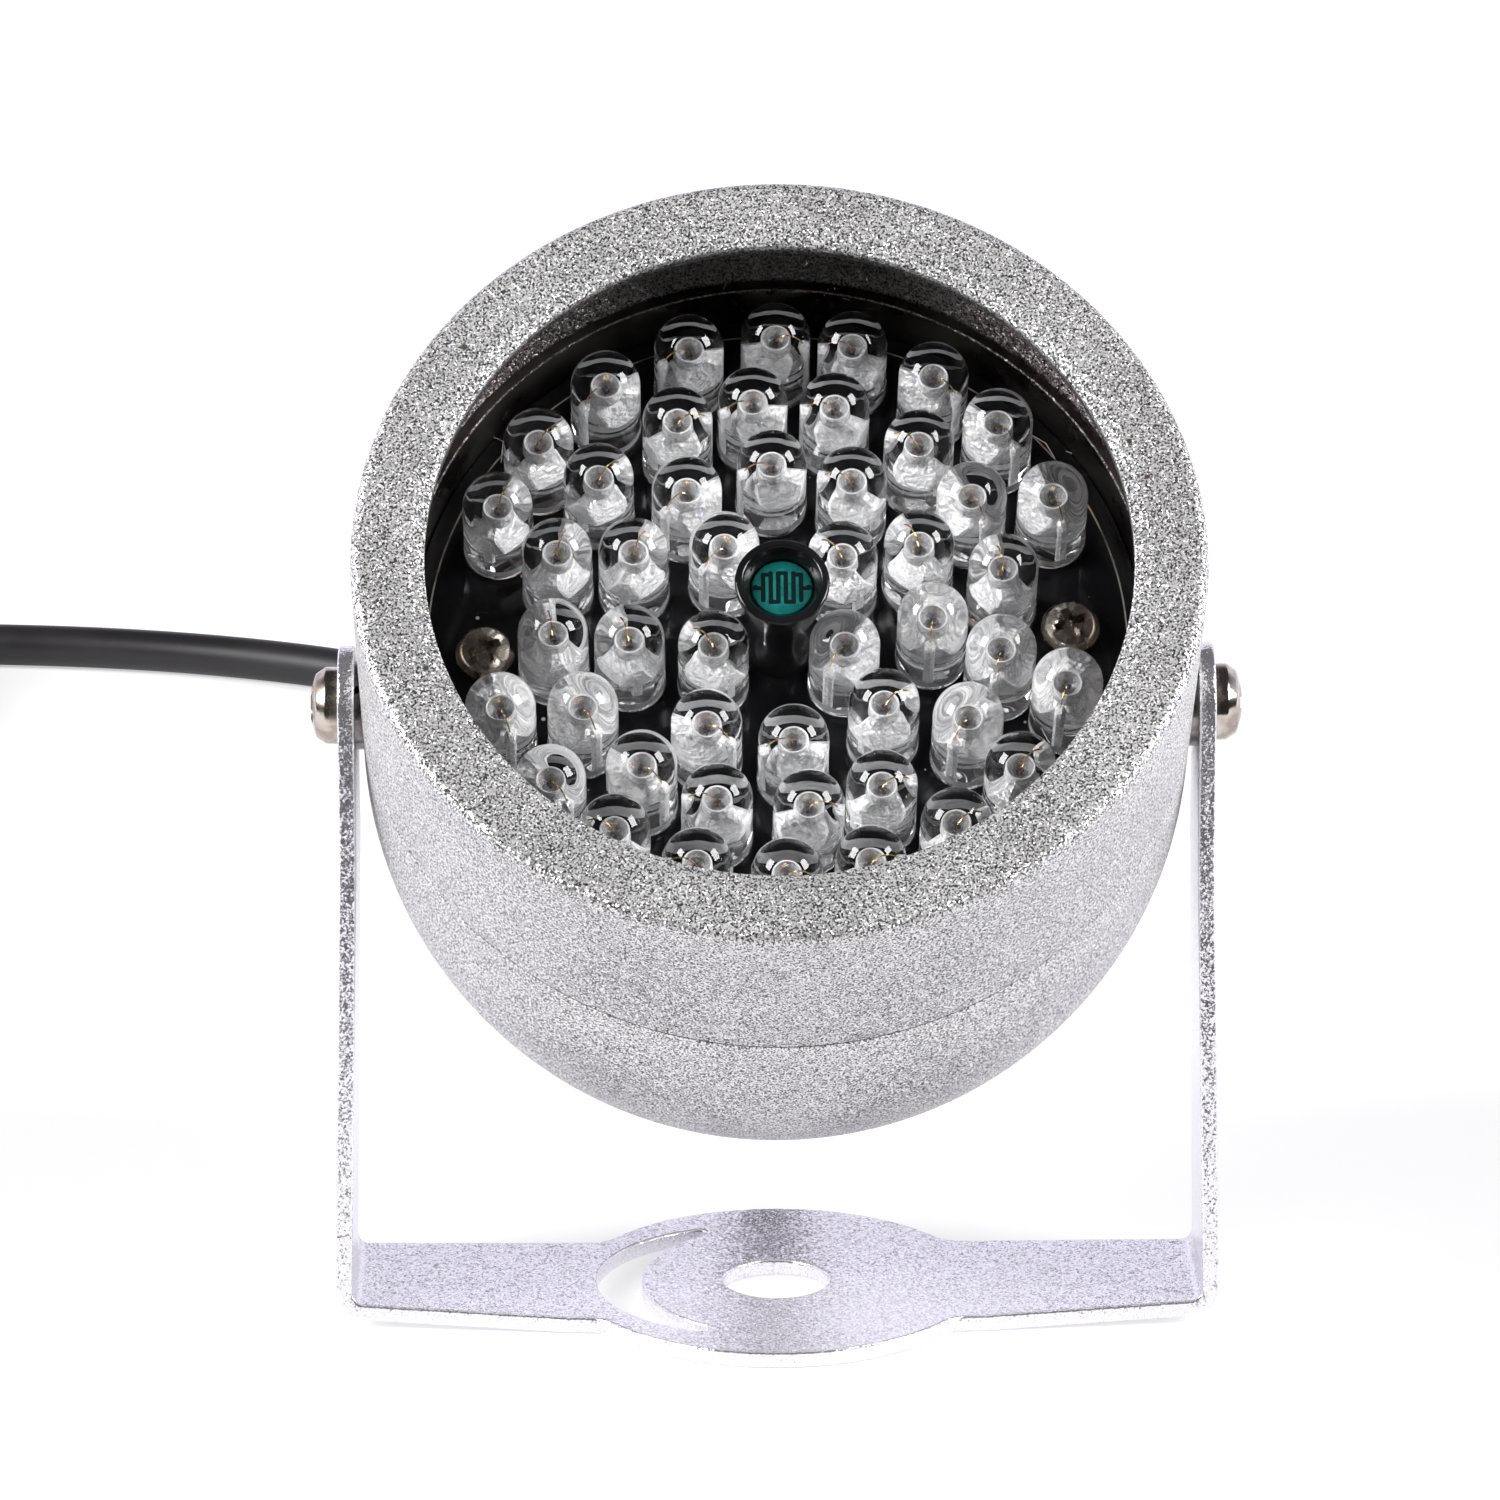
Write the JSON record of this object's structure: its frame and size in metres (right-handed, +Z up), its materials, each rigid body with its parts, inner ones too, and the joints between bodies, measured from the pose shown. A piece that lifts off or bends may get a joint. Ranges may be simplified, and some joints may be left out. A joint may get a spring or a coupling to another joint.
{
  "type": "infrared illuminator",
  "caption": "Round infrared lamp with a light sensor and diodes behind an open bezel, tilting between the arms of a bent sheet bracket, with a cable to an inline socket.",
  "frame": {"origin": "centre of the bracket's mounting hole on the underside of its base disc", "axes": "+Z up from the base disc, X along the pivot screws, the lamp faces -Y and upwards"},
  "size_m": [0.1562, 0.1991, 0.0806],
  "materials": {
    "silver_casting": "fine sparkle paint",
    "silver_sheet": "fine sparkle paint",
    "nickel_screw": "bright plated",
    "spring_steel": "dark oiled",
    "seal_rubber": "matte",
    "board_mask": "gloss",
    "clear_epoxy": "clear",
    "sensor_film": "gloss",
    "sleeve_black": "satin",
    "component_black": "matte",
    "cable_black": "satin",
    "wire_red": "satin",
    "wire_black": "satin",
    "tie_nylon": "matte",
    "socket_plastic": "satin",
    "contact_metal": "bright plated"
  },
  "bodies": {
    "bracket": {"bracket": "silver_sheet", "cable_lead": "cable_black", "cable_run": "cable_black", "cable_coil": "cable_black", "cable_tail": "cable_black", "socket_shell": "socket_plastic", "socket_contact": "contact_metal", "socket_pin": "contact_metal"},
    "head": {"front_bezel": "silver_casting", "rear_housing": "silver_casting", "seal_ring": "seal_rubber", "diode_board": "board_mask", "diode_string_1": "clear_epoxy", "diode_string_2": "clear_epoxy", "diode_string_3": "clear_epoxy", "diode_string_4": "clear_epoxy", "diode_string_5": "clear_epoxy", "diode_string_6": "clear_epoxy", "diode_string_7": "clear_epoxy", "diode_string_8": "clear_epoxy", "light_sensor": "sensor_film", "sensor_sleeve": "sleeve_black", "board_screw_left": "nickel_screw", "board_screw_right": "nickel_screw", "string_resistors": "component_black", "driver_transistor": "component_black", "guard_diode": "component_black", "pivot_screw_left": "nickel_screw", "pivot_screw_right": "nickel_screw", "spring_washer_left": "spring_steel", "spring_washer_right": "spring_steel", "cable_grommet": "seal_rubber", "cable_stub": "cable_black", "cable_tie": "tie_nylon", "red_wire": "wire_red", "black_wire": "wire_black"}
  },
  "joints": [
    {"name": "head_tilt", "type": "hinge", "parent": "bracket", "child": "head", "pos_m": [0, 0, 0.0442], "axis": [1, 0, 0], "range_deg": [-31, 88], "deforming": ["cable_lead"]}
  ]
}
